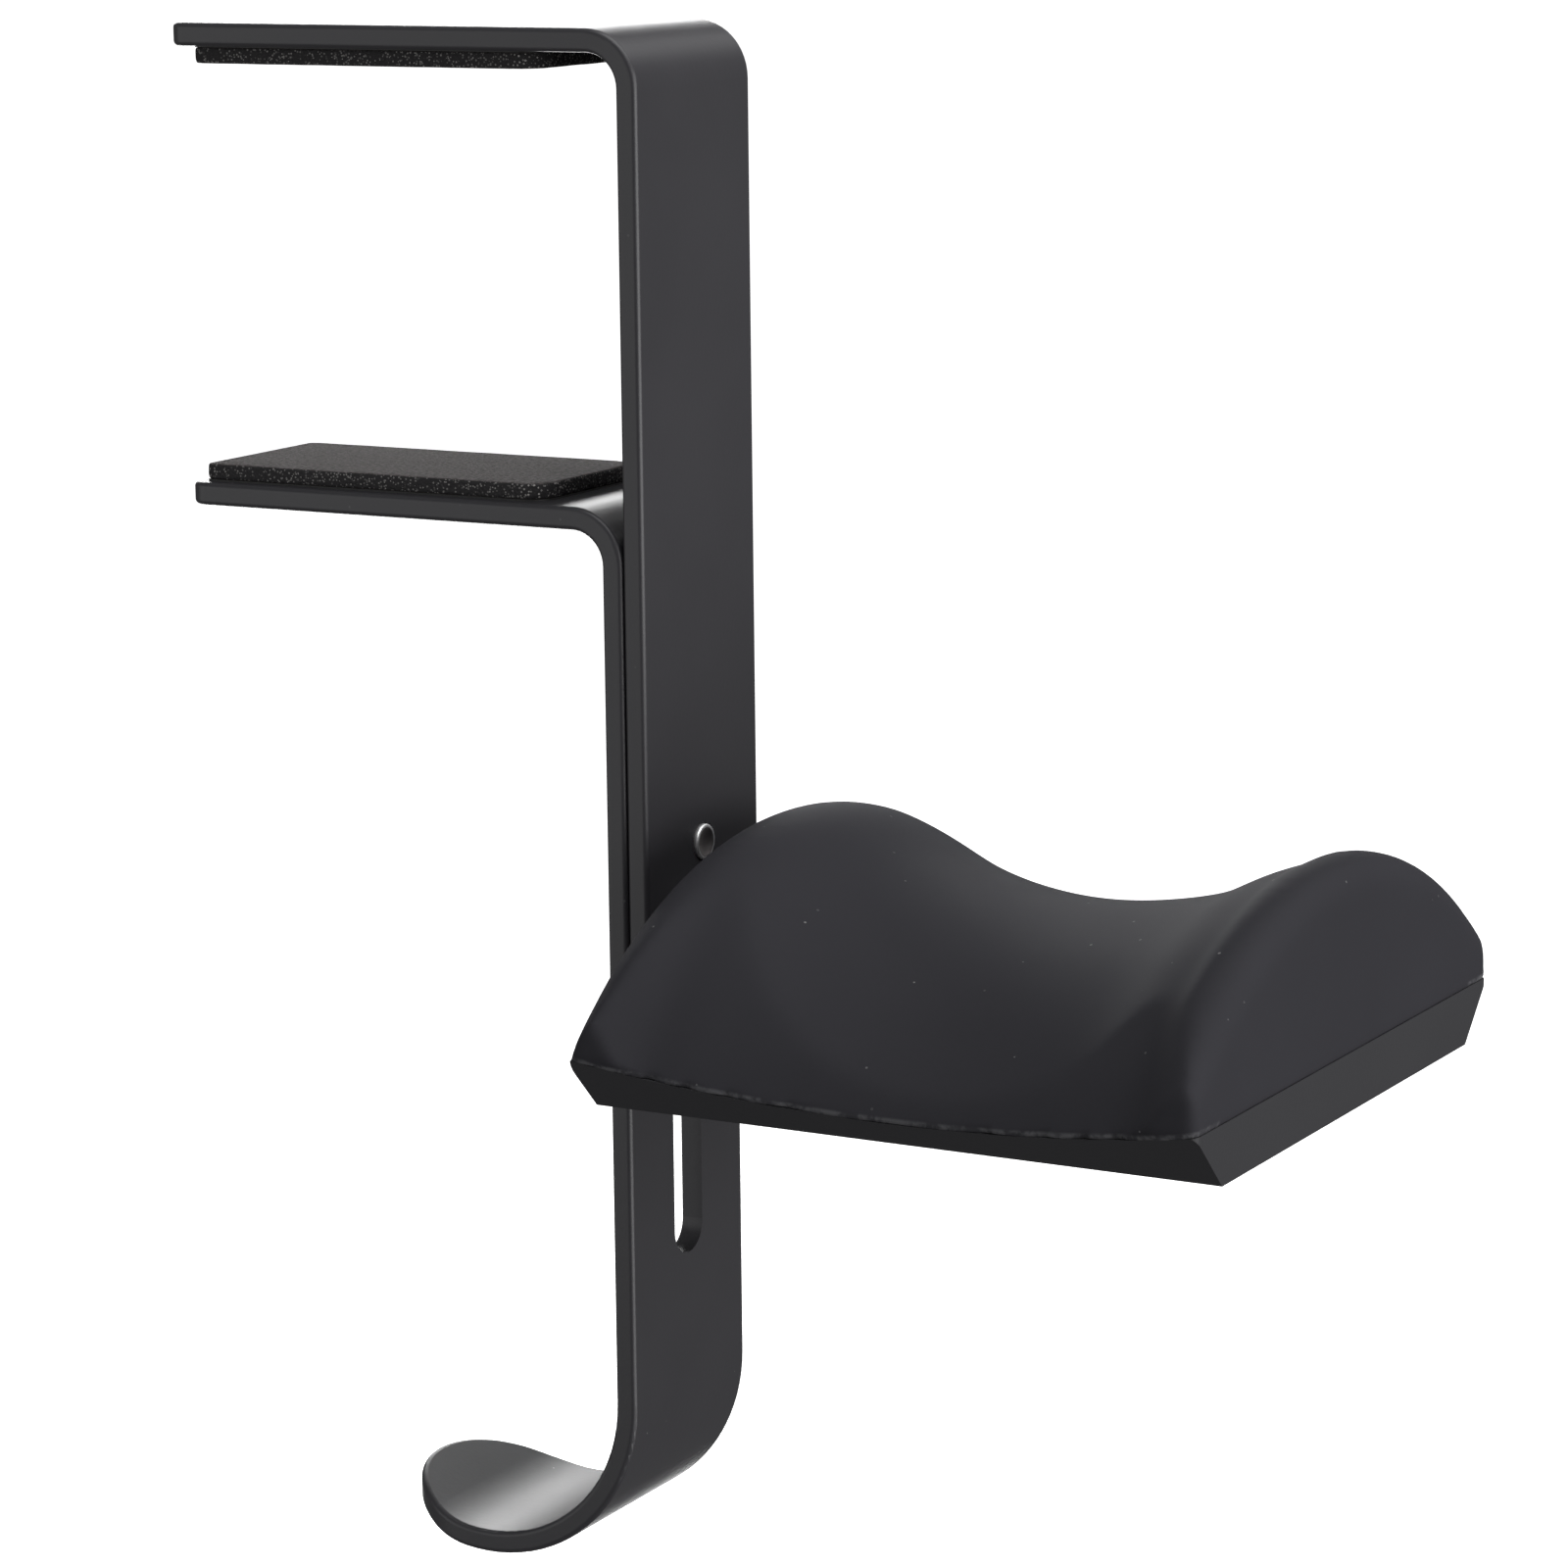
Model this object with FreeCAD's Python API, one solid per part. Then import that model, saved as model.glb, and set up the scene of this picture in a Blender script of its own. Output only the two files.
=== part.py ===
import FreeCAD, Part
import math
import os

V = FreeCAD.Vector

# Desk-clamp headphone hook, millimetres. +X points away from the desk, Y runs across the strip, +Z is up.
# The origin is the centre of the upper foam pad's underside, which rests on the desk top.

# --- driving dimensions -------------------------------------------------------------------------------
STRIP_W = 26.2            # width of both steel strips
STRIP_T = 2.7             # thickness of both steel strips, coating included
STRIP_EDGE = 0.6          # rounding along the strips' edges
BEND_IN = 4.0             # inside radius of the two jaw bends
CORNER_R = 2.5            # corners of the jaws in plan

LEG_X = 32.3              # desk-facing face of the lower bracket's leg
LEG_PLAY = 0.1            # sliding play between the two legs
UPPER_TIP_X = -26.0
LOWER_TIP_X = -25.0

PAD_L = 47.0
PAD_W = 22.4
PAD_TIP_CORNER = 0.8       # pad corners toward the jaw's tip
PAD_LEG_CORNER = 3.0       # pad corners toward the leg
FOAM_T = 2.0
TAPE_T = 0.2
THROAT = 47.0             # clear height between the pads as the clamp stands

UPPER_LEG_END = -112.0
LEG_END_CORNER = 5.0

HOOK_TOP = -155.4         # where the leg starts to curve toward the desk
HOOK_IN = 18.5            # inside radius of the curve
HOOK_RISE = 24.0          # degrees that the tongue rises past level
TONGUE_TIP_X = -1.0
TONGUE_ROUND = 12.0       # length of the tongue's rounded end in plan

SCREW_Z = -101.0
SCREW_R = 3.0             # M6
SCREW_CLEAR = 3.25
SCREW_TIP_X = 57.0
PIN_Z = -89.7
PIN_COLLAR_R = 3.15
PIN_TENON_R = 2.1
PIN_HEAD_R = 4.5
PIN_HEAD_T = 1.2
PIN_PROUD = 0.35           # the riveted end stands proud of the leg
PIN_DISH_R = 1.65          # dished by the riveting tool
PIN_DISH_DEPTH = 0.40
PIN_HOLE_CHAMFER = 0.3
SLOT_W = 6.5
SLOT_TOP = -84.0
SLOT_BOTTOM = -139.8

HEAD_R = 5.25
HEAD_H = 3.0
HEX_ACROSS = 4.0
HEX_DEPTH = 2.0
CLAMP_WASHER_R = 6.0
CLAMP_WASHER_T = 1.6
SWIVEL_WASHER_R = 8.0
SWIVEL_WASHER_T = 1.6

SPACER_L = 4.0            # holds the saddle clear of the strip
SPACER_R = 7.0
SADDLE_L = 76.0
SADDLE_HALF_W = 41.2      # at the parting line
SADDLE_BOTTOM_HALF_W = 34.5
SADDLE_BOTTOM = -112.8
PART_LINE = -106.1        # parting line between skin and base, at the front and back
PART_DIP = 3.7            # how far the parting line dips halfway along the sides
SADDLE_CORNER = 1.2
ARCH_AXIS_Z = -147.5      # the saddle's cross-section is an arch about this line
BACK_EDGE_R = 7.5         # rounding of the saddle's top edge next to the bracket
FRONT_EDGE_R = 3.5        # rounding of its top edge at the free end
# distance along the saddle from its back face, and height of the arch above its axis there
ARCH_PROFILE = (
    (7.5, 62.8), (9.5, 62.6), (12.5, 61.7), (18.0, 59.1), (28.0, 55.8), (40.0, 54.4),
    (52.0, 55.5), (61.0, 58.0), (67.0, 60.8), (70.5, 62.4), (72.5, 62.8),
)
FLANK_AXIS_Z = -128.0     # a tighter arch about this line takes the lips' ends down to the parting line
FLANK_PROFILE = (
    (0.0, 49.2), (3.5, 48.6), (9.0, 44.8), (12.0, 44.2), (18.0, 43.3), (28.0, 42.3), (38.0, 41.9),
    (48.0, 42.3), (58.0, 43.3), (64.0, 44.2), (67.0, 44.8), (71.5, 47.6), (76.0, 49.0),
)
SKIN_T = 3.0
CORE_WALL = 3.0
BOSS_HALF_W = 9.0
BOSS_L = 20.0
POST_R = 4.0
POST_SPOTS = ((14.0, 20.0), (60.0, 20.0))   # along the saddle, and to each side

INSERT_R = 4.5
INSERT_BORE_R = 3.05
INSERT_L = 12.0
INSERT_INSET = 0.5

PLATE_SCREW_R = 1.5
PLATE_SCREW_HEAD_R = 2.9
PLATE_SCREW_HEAD_H = 1.5
PLATE_SCREW_L = 9.0

# --- worked-out places --------------------------------------------------------------------------------
UPPER_Z = FOAM_T + TAPE_T                       # underside of the upper jaw
LOWER_Z = -THROAT - FOAM_T - TAPE_T             # top of the lower jaw
LOWER_OUT = LEG_X + STRIP_T
UPPER_IN = LOWER_OUT + LEG_PLAY
UPPER_OUT = UPPER_IN + STRIP_T
BEND_OUT = BEND_IN + STRIP_T
SPACER_X = UPPER_OUT + SWIVEL_WASHER_T
SADDLE_X = SPACER_X + SPACER_L
SADDLE_END = SADDLE_X + SADDLE_L


# --- helpers ------------------------------------------------------------------------------------------
def box(x0, x1, y0, y1, z0, z1):
    return Part.makeBox(x1 - x0, y1 - y0, z1 - z0, V(x0, y0, z0))


def rod_x(x0, x1, r, y=0.0, z=SCREW_Z):
    return Part.makeCylinder(r, x1 - x0, V(x0, y, z), V(1, 0, 0))


def rod_z(z0, z1, r, x, y):
    return Part.makeCylinder(r, z1 - z0, V(x, y, z0), V(0, 0, 1))


def on_circle(cx, cz, r, degrees):
    a = math.radians(degrees)
    return (cx + r * math.cos(a), cz + r * math.sin(a))


def side_face(start, steps, y):
    """Closed face in the XZ plane. A step is an end point, or a point on an arc and its end point."""
    def point(p):
        return V(p[0], y, p[1])
    edges = []
    here = start
    for step in steps:
        end = step[-1]
        if len(step) == 1:
            edges.append(Part.makeLine(point(here), point(end)))
        else:
            edges.append(Part.Arc(point(here), point(step[0]), point(end)).toShape())
        here = end
    return Part.Face(Part.Wire(edges))


def along(edge, direction):
    """True for a straight edge that runs along the direction."""
    if not isinstance(edge.Curve, Part.Line):
        return False
    run = edge.Vertexes[-1].Point.sub(edge.Vertexes[0].Point)
    run.normalize()
    return abs(run.dot(direction)) > 0.999


def round_corners(shape, x, radius):
    """Rounds the two upright corner edges at x."""
    corners = [e for e in shape.Edges if along(e, V(0, 0, 1)) and abs(e.CenterOfMass.x - x) < 0.01]
    return shape.makeFillet(radius, corners)


def round_rim(shape):
    """Rounds every edge around a bent strip's outline. Lines across the bends are smooth already."""
    rim = []
    for e in shape.Edges:
        crosses = along(e, V(0, 1, 0))
        at_end = min(abs(e.CenterOfMass.x - UPPER_TIP_X), abs(e.CenterOfMass.x - LOWER_TIP_X)) < 0.01
        at_foot = abs(e.CenterOfMass.z - UPPER_LEG_END) < 0.01
        upright = along(e, V(0, 0, 1)) and abs(e.Length - STRIP_T) < 0.01
        through = along(e, V(1, 0, 0)) and abs(e.Length - STRIP_T) < 0.01
        if upright or through or (crosses and not (at_end or at_foot)):
            continue
        rim.append(e)
    return shape.makeFillet(STRIP_EDGE, rim)


def jaw_steps(tip, top, outer):
    """From a jaw's tip, along its top and round the bend onto the leg's outer face."""
    bend = on_circle(outer - BEND_OUT, top - BEND_OUT, BEND_OUT, 45)
    return [((outer - BEND_OUT, top),), (bend, (outer, top - BEND_OUT))]


def jaw_return(tip, top, inner):
    """From the leg's desk-facing face, round the bend and back along the jaw's underside."""
    under = top - STRIP_T
    bend = on_circle(inner - BEND_IN, under - BEND_IN, BEND_IN, 45)
    return [((inner, under - BEND_IN),), (bend, (inner - BEND_IN, under)), ((tip, under),), ((tip, top),)]


def slot_x(x0, x1, width, z0, z1):
    """Round-ended upright slot, cut along X."""
    r = width / 2
    middle = box(x0, x1, -r, r, z0 + r, z1 - r)
    return middle.fuse([rod_x(x0, x1, r, z=z0 + r), rod_x(x0, x1, r, z=z1 - r)]).removeSplitter()


def pad(z0, z1):
    block = box(-PAD_L / 2, PAD_L / 2, -PAD_W / 2, PAD_W / 2, z0, z1)
    for x, radius in ((-PAD_L / 2, PAD_TIP_CORNER), (PAD_L / 2, PAD_LEG_CORNER)):
        block = round_corners(block, x, radius)
    return block


# --- brackets -----------------------------------------------------------------------------------------
def upper_bracket():
    top = UPPER_Z + STRIP_T
    steps = jaw_steps(UPPER_TIP_X, top, UPPER_OUT)
    steps += [((UPPER_OUT, UPPER_LEG_END),), ((UPPER_IN, UPPER_LEG_END),)]
    steps += jaw_return(UPPER_TIP_X, top, UPPER_IN)
    face = side_face((UPPER_TIP_X, top), steps, -STRIP_W / 2)
    strip = face.extrude(V(0, STRIP_W, 0))
    strip = round_corners(strip, UPPER_TIP_X, CORNER_R)
    foot = [e for e in strip.Edges if along(e, V(1, 0, 0)) and abs(e.CenterOfMass.z - UPPER_LEG_END) < 0.01]
    strip = round_rim(strip.makeFillet(LEG_END_CORNER, foot))
    screw_hole = rod_x(UPPER_IN - 1, UPPER_OUT + 1, SCREW_CLEAR)
    pin_hole = rod_x(UPPER_IN - 1, UPPER_OUT + 1, PIN_TENON_R, z=PIN_Z)
    chamfer = Part.makeCone(PIN_TENON_R, PIN_TENON_R + PIN_HOLE_CHAMFER, PIN_HOLE_CHAMFER,
                            V(UPPER_OUT - PIN_HOLE_CHAMFER, 0, PIN_Z), V(1, 0, 0))
    return strip.cut([screw_hole, pin_hole, chamfer])


def tongue_trim():
    """What is cut off the tongue so that its end is half an ellipse in plan."""
    start = TONGUE_TIP_X + TONGUE_ROUND
    low = HOOK_TOP - HOOK_IN - 2 * STRIP_T
    block = box(TONGUE_TIP_X - 10, start, -STRIP_W, STRIP_W, low, HOOK_TOP)
    outline = Part.Ellipse(V(start, STRIP_W / 2, low), V(start - TONGUE_ROUND, 0, low), V(start, 0, low))
    keep = Part.Face(Part.Wire(outline.toShape())).extrude(V(0, 0, HOOK_TOP - low))
    return block.cut(keep)


def lower_bracket():
    cx, cz = LEG_X - HOOK_IN, HOOK_TOP
    hook_out = HOOK_IN + STRIP_T
    end = -90 - HOOK_RISE
    out_end = on_circle(cx, cz, hook_out, end)
    in_end = on_circle(cx, cz, HOOK_IN, end)
    rise = math.tan(math.radians(HOOK_RISE))
    past = TONGUE_TIP_X - 5
    out_tip = (past, out_end[1] + (out_end[0] - past) * rise)
    in_tip = (past, in_end[1] + (in_end[0] - past) * rise)
    steps = jaw_steps(LOWER_TIP_X, LOWER_Z, LOWER_OUT)
    steps += [((LOWER_OUT, HOOK_TOP),), (on_circle(cx, cz, hook_out, end / 2), out_end)]
    steps += [(out_tip,), (in_tip,), (in_end,)]
    steps += [(on_circle(cx, cz, HOOK_IN, end / 2), (LEG_X, HOOK_TOP))]
    steps += jaw_return(LOWER_TIP_X, LOWER_Z, LEG_X)
    face = side_face((LOWER_TIP_X, LOWER_Z), steps, -STRIP_W / 2)
    strip = face.extrude(V(0, STRIP_W, 0)).cut(tongue_trim())
    strip = round_corners(strip, LOWER_TIP_X, CORNER_R)
    strip = round_rim(strip)
    return strip.cut(slot_x(LEG_X - 1, LOWER_OUT + 1, SLOT_W, SLOT_BOTTOM, SLOT_TOP))


def guide_pin():
    head = rod_x(LEG_X - LEG_PLAY - PIN_HEAD_T, LEG_X - LEG_PLAY, PIN_HEAD_R, z=PIN_Z)
    collar = rod_x(LEG_X - LEG_PLAY, UPPER_IN, PIN_COLLAR_R, z=PIN_Z)
    end = UPPER_OUT + PIN_PROUD
    tenon = rod_x(UPPER_IN, end, PIN_TENON_R, z=PIN_Z)
    tenon = tenon.makeFillet(0.25, [e for e in tenon.Edges if abs(e.CenterOfMass.x - end) < 0.01])
    dish_r = (PIN_DISH_R ** 2 + PIN_DISH_DEPTH ** 2) / (2 * PIN_DISH_DEPTH)
    dish = Part.makeSphere(dish_r, V(end - PIN_DISH_DEPTH + dish_r, 0, PIN_Z))
    return head.fuse([collar, tenon]).removeSplitter().cut(dish)


# --- clamp screw and washers --------------------------------------------------------------------------
def hexagon_x(x0, x1, across):
    corners = [on_circle(0, SCREW_Z, across / math.sqrt(3), 60 * k) for k in range(7)]
    wire = Part.makePolygon([V(x0, y, z) for y, z in corners])
    return Part.Face(wire).extrude(V(x1 - x0, 0, 0))


def clamp_screw():
    seat = LEG_X - CLAMP_WASHER_T
    shank = rod_x(seat, SCREW_TIP_X, SCREW_R)
    shank = shank.makeChamfer(0.8, [e for e in shank.Edges if abs(e.CenterOfMass.x - SCREW_TIP_X) < 0.01])
    dome_r = (HEAD_R ** 2 + HEAD_H ** 2) / (2 * HEAD_H) + 1.5
    dome = Part.makeSphere(dome_r, V(seat - HEAD_H + dome_r, 0, SCREW_Z))
    head = rod_x(seat - HEAD_H, seat, HEAD_R).common(dome)
    socket = hexagon_x(seat - HEAD_H - 1, seat - HEAD_H + HEX_DEPTH, HEX_ACROSS)
    return head.fuse(shank).removeSplitter().cut(socket)


def washer(x0, thickness, outer_r):
    return rod_x(x0, x0 + thickness, outer_r).cut(rod_x(x0 - 1, x0 + thickness + 1, SCREW_CLEAR))


# --- saddle -------------------------------------------------------------------------------------------
def edge_arc(crest, way, radius):
    """Quarter circle from the crest down to the end face, the way being -1 or 1 along X."""
    foot = V(crest.x + way * radius, 0, crest.z - radius)
    lean = radius * math.sqrt(0.5)
    middle = V(crest.x + way * lean, 0, crest.z - radius + lean)
    ends = (foot, middle, crest) if way < 0 else (crest, middle, foot)
    return foot, Part.Arc(*ends).toShape()


def crown(inset):
    """Solid of revolution about the arch's axis, its profile moved inward by the inset."""
    spots = [V(SADDLE_X + s, 0, ARCH_AXIS_Z + h - inset) for s, h in ARCH_PROFILE]
    top = Part.BSplineCurve()
    top.interpolate(Points=spots, InitialTangent=V(1, 0, 0), FinalTangent=V(1, 0, 0))
    back, back_edge = edge_arc(spots[0], -1, max(BACK_EDGE_R - inset, 0.5))
    front, front_edge = edge_arc(spots[-1], 1, max(FRONT_EDGE_R - inset, 0.5))
    first = V(back.x, 0, ARCH_AXIS_Z)
    last = V(front.x, 0, ARCH_AXIS_Z)
    wire = Part.Wire([Part.makeLine(first, back), back_edge, top.toShape(), front_edge,
                      Part.makeLine(front, last), Part.makeLine(last, first)])
    return Part.Face(wire).revolve(first, V(1, 0, 0), 360)


def flanks(inset):
    """Solid of revolution about the flanks' axis, its profile moved inward by the inset."""
    spots = [V(SADDLE_X + s, 0, FLANK_AXIS_Z + h - inset) for s, h in FLANK_PROFILE]
    top = Part.BSplineCurve()
    top.interpolate(spots)
    first = V(SADDLE_X, 0, FLANK_AXIS_Z)
    last = V(SADDLE_END, 0, FLANK_AXIS_Z)
    wire = Part.Wire([Part.makeLine(first, spots[0]), top.toShape(), Part.makeLine(spots[-1], last),
                      Part.makeLine(last, first)])
    return Part.Face(wire).revolve(first, V(1, 0, 0), 360)


def arch(inset):
    """The saddle's top: a crown with two lips, whose ends come down at the flanks."""
    return crown(inset).common(flanks(inset))


def saddle_block(inset, taper=True):
    """The saddle's outline in front view, run along its length, before the arch is cut on it."""
    wide = SADDLE_HALF_W - inset
    foot = SADDLE_BOTTOM_HALF_W if taper else wide
    top = ARCH_AXIS_Z + 70
    outline = ((-foot, SADDLE_BOTTOM), (foot, SADDLE_BOTTOM), (wide, PART_LINE), (wide, top),
               (-wide, top), (-wide, PART_LINE), (-foot, SADDLE_BOTTOM))
    wire = Part.makePolygon([V(SADDLE_X + inset, y, z) for y, z in outline])
    block = Part.Face(wire).extrude(V(SADDLE_L - 2 * inset, 0, 0))
    if inset:
        return block
    plan = box(SADDLE_X, SADDLE_END, -wide, wide, SADDLE_BOTTOM, top)
    plan = plan.makeFillet(SADDLE_CORNER, [e for e in plan.Edges if along(e, V(0, 0, 1))])
    return block.common(plan)


def above_part(rise=0.0):
    """Everything above the dished parting surface between the base plate and the skin and core."""
    middle = SADDLE_X + SADDLE_L / 2
    wide = SADDLE_HALF_W + 5
    top = ARCH_AXIS_Z + 80
    ends = PART_LINE + rise
    steps = [((middle, ends - PART_DIP), (SADDLE_END, ends)), ((SADDLE_END + 5, ends),),
             ((SADDLE_END + 5, top),), ((SADDLE_X - 5, top),), ((SADDLE_X - 5, ends),), ((SADDLE_X, ends),)]
    return side_face((SADDLE_X, ends), steps, -wide).extrude(V(0, 2 * wide, 0))


def plate_screw_spots():
    return [(SADDLE_X + s, side * y) for s, y in POST_SPOTS for side in (-1, 1)]


def saddle_core():
    outer = arch(SKIN_T).common(saddle_block(SKIN_T, taper=False)).common(above_part())
    inside = SKIN_T + CORE_WALL
    hollow = arch(inside).common(saddle_block(inside, taper=False))
    boss = box(SADDLE_X + SKIN_T, SADDLE_X + BOSS_L, -BOSS_HALF_W, BOSS_HALF_W, SADDLE_BOTTOM, ARCH_AXIS_Z + 70)
    posts = [rod_z(SADDLE_BOTTOM, ARCH_AXIS_Z + 70, POST_R, x, y) for x, y in plate_screw_spots()]
    core = outer.cut(hollow.cut([boss] + posts))
    insert_hole = rod_x(SADDLE_X + SKIN_T + INSERT_INSET, SADDLE_X + SKIN_T + INSERT_INSET + INSERT_L, INSERT_R)
    screw_hole = rod_x(SADDLE_X, SADDLE_X + BOSS_L - 2, SCREW_CLEAR)
    pilots = [rod_z(SADDLE_BOTTOM, SADDLE_BOTTOM + PLATE_SCREW_L + 1, PLATE_SCREW_R, x, y)
              for x, y in plate_screw_spots()]
    return core.cut([insert_hole, screw_hole] + pilots)


def saddle_skin():
    outer = arch(0).common(saddle_block(0)).common(above_part())
    inner = arch(SKIN_T).common(saddle_block(SKIN_T, taper=False))
    screw_hole = rod_x(SADDLE_X - 1, SADDLE_X + SKIN_T + 1, SCREW_CLEAR)
    return outer.cut([inner, screw_hole])


def saddle_base_plate():
    plate = saddle_block(0).common(arch(0)).cut(above_part())
    holes = []
    for x, y in plate_screw_spots():
        holes.append(rod_z(SADDLE_BOTTOM - 1, PART_LINE + 1, PLATE_SCREW_R, x, y))
        holes.append(rod_z(SADDLE_BOTTOM - 1, SADDLE_BOTTOM + PLATE_SCREW_HEAD_H, PLATE_SCREW_HEAD_R, x, y))
    return plate.cut(holes)


def threaded_insert():
    start = SADDLE_X + SKIN_T + INSERT_INSET
    return rod_x(start, start + INSERT_L, INSERT_R).cut(rod_x(start - 1, start + INSERT_L + 1, INSERT_BORE_R))


def base_plate_screws():
    screws = []
    for x, y in plate_screw_spots():
        head = rod_z(SADDLE_BOTTOM, SADDLE_BOTTOM + PLATE_SCREW_HEAD_H, PLATE_SCREW_HEAD_R, x, y)
        shank = rod_z(SADDLE_BOTTOM, SADDLE_BOTTOM + PLATE_SCREW_L, PLATE_SCREW_R, x, y)
        screws.append(head.fuse(shank).removeSplitter())
    return Part.makeCompound(screws)


# --- write one file for each piece --------------------------------------------------------------------
parts = {
    "upper_bracket": upper_bracket(),
    "upper_pad_tape": pad(FOAM_T, UPPER_Z),
    "upper_foam_pad": pad(0.0, FOAM_T),
    "guide_pin": guide_pin(),
    "lower_bracket": lower_bracket(),
    "lower_pad_tape": pad(LOWER_Z, LOWER_Z + TAPE_T),
    "lower_foam_pad": pad(LOWER_Z + TAPE_T, -THROAT),
    "clamp_screw": clamp_screw(),
    "clamp_washer": washer(LEG_X - CLAMP_WASHER_T, CLAMP_WASHER_T, CLAMP_WASHER_R),
    "swivel_washer": washer(UPPER_OUT, SWIVEL_WASHER_T, SWIVEL_WASHER_R),
    "spacer_bush": washer(SPACER_X, SPACER_L, SPACER_R),
    "threaded_insert": threaded_insert(),
    "saddle_core": saddle_core(),
    "saddle_skin": saddle_skin(),
    "saddle_base_plate": saddle_base_plate(),
    "base_plate_screws": base_plate_screws(),
}

os.makedirs("parts", exist_ok=True)
for name, shape in parts.items():
    shape.exportStep("parts/" + name + ".step")
    size = shape.BoundBox
    print(name, shape.isValid(), len(shape.Solids), round(shape.Volume, 1),
          [round(v, 2) for v in (size.XMin, size.XMax, size.YMin, size.YMax, size.ZMin, size.ZMax)])
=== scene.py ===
"""Finished look of a desk-clamp headphone hook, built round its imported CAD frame."""

import math

import bmesh
import bpy
from bpy.props import FloatProperty, FloatVectorProperty, IntProperty, PointerProperty
from mathutils import Matrix, Vector, noise


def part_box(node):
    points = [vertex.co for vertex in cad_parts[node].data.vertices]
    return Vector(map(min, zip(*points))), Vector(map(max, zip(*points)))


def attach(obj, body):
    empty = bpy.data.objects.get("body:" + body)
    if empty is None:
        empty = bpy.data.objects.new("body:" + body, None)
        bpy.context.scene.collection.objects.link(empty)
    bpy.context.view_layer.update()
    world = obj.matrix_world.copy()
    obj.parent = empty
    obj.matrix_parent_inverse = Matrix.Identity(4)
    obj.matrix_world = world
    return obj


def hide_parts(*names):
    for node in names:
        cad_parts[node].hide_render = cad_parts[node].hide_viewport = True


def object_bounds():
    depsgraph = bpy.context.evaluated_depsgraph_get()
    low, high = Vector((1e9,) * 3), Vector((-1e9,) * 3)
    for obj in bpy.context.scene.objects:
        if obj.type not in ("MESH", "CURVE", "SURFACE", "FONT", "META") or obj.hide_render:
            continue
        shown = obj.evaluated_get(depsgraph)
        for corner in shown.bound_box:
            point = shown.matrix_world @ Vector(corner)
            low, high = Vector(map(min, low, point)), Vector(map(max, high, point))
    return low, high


bl_info = {
    "name": "Headphone Hook",
    "version": (1, 0, 0),
    "blender": (4, 5, 0),
    "location": "3D View > Sidebar > Headphone Hook",
    "description": "Finishes a desk-clamp headphone hook and sets its stage",
    "category": "Object",
}

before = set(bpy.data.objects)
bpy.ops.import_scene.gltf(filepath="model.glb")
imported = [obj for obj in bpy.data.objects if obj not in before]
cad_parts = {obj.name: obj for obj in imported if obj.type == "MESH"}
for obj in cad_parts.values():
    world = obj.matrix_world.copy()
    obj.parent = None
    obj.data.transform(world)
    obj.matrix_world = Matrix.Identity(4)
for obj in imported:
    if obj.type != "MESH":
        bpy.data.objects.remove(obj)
CAD_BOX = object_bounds()
MM = 0.001

SKIN_LOW, SKIN_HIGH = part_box("saddle_skin")
PLATE_LOW, PLATE_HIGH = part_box("saddle_base_plate")
SKIN_MIDDLE_X = (SKIN_LOW.x + SKIN_HIGH.x) / 2
SKIN_HALF_X = (SKIN_HIGH.x - SKIN_LOW.x) / 2


# --- settings -------------------------------------------------------------------------------
def colour(name, description, default):
    return FloatVectorProperty(
        name=name, description=description, default=default, subtype="COLOR", size=3,
        min=0.0, max=1.0,
    )


def share(name, description, default):
    return FloatProperty(
        name=name, description=description, default=default, min=0.0, max=1.0,
        subtype="FACTOR",
    )


def length(name, description, default):
    return FloatProperty(
        name=name, description=description, default=default, min=0.0, precision=5,
        unit="LENGTH",
    )


def angle(name, description, degrees):
    return FloatProperty(
        name=name, description=description, default=math.radians(degrees), subtype="ANGLE"
    )


def power(name, description, default):
    return FloatProperty(
        name=name, description=description, default=default, min=0.0, unit="POWER"
    )


class HookFinishes(bpy.types.PropertyGroup):
    """Colours and gloss of the hook's materials"""

    coat_colour: colour(
        "Powder coat", "Colour of the painted steel strips", (0.0270, 0.0262, 0.0300)
    )
    coat_roughness: share("Coat roughness", "Roughness of the powder coat", 0.42)
    foam_colour: colour("Foam", "Colour of the foam pads' skin side", (0.068, 0.060, 0.059))
    foam_cut_colour: colour(
        "Cut foam", "Colour of the foam on its cut sides", (0.020, 0.019, 0.020)
    )
    silicone_colour: colour(
        "Silicone", "Colour of the saddle's soft skin", (0.0300, 0.0295, 0.0340)
    )
    silicone_roughness: share("Silicone roughness", "Roughness of the soft skin", 0.70)
    plastic_colour: colour(
        "Plastic", "Colour of the saddle's base plate", (0.0270, 0.0268, 0.0295)
    )
    steel_colour: colour(
        "Bright steel", "Colour of the plated screws, pin and washer", (0.66, 0.66, 0.67)
    )
    brass_colour: colour("Brass", "Colour of the threaded insert", (0.60, 0.43, 0.18))


class HookSizes(bpy.types.PropertyGroup):
    """Sizes of the soft pieces' detail"""

    foam_grid: length("Foam grid", "Size of the foam pads' small faces", 0.32 * MM)
    foam_crown: length("Foam crown", "How far the pads swell between their edges", 0.12 * MM)
    foam_unevenness: length("Foam unevenness", "Depth of the waves on the foam", 0.06 * MM)
    tip_corner: length(
        "Tip corner", "Corner radius of the pads toward the jaw's tip", 0.8 * MM
    )
    leg_corner: length("Leg corner", "Corner radius of the pads toward the leg", 3.0 * MM)
    skin_grid: length("Skin grid", "Size of the saddle skin's small faces", 0.55 * MM)
    skin_softening: IntProperty(
        name="Skin softening", description="Rounds of smoothing that blend the skin's corners",
        default=22, min=0,
    )
    part_line_dip: length(
        "Parting line dip", "How far the skin's lower edge sags at the sides", 3.7 * MM
    )


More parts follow.
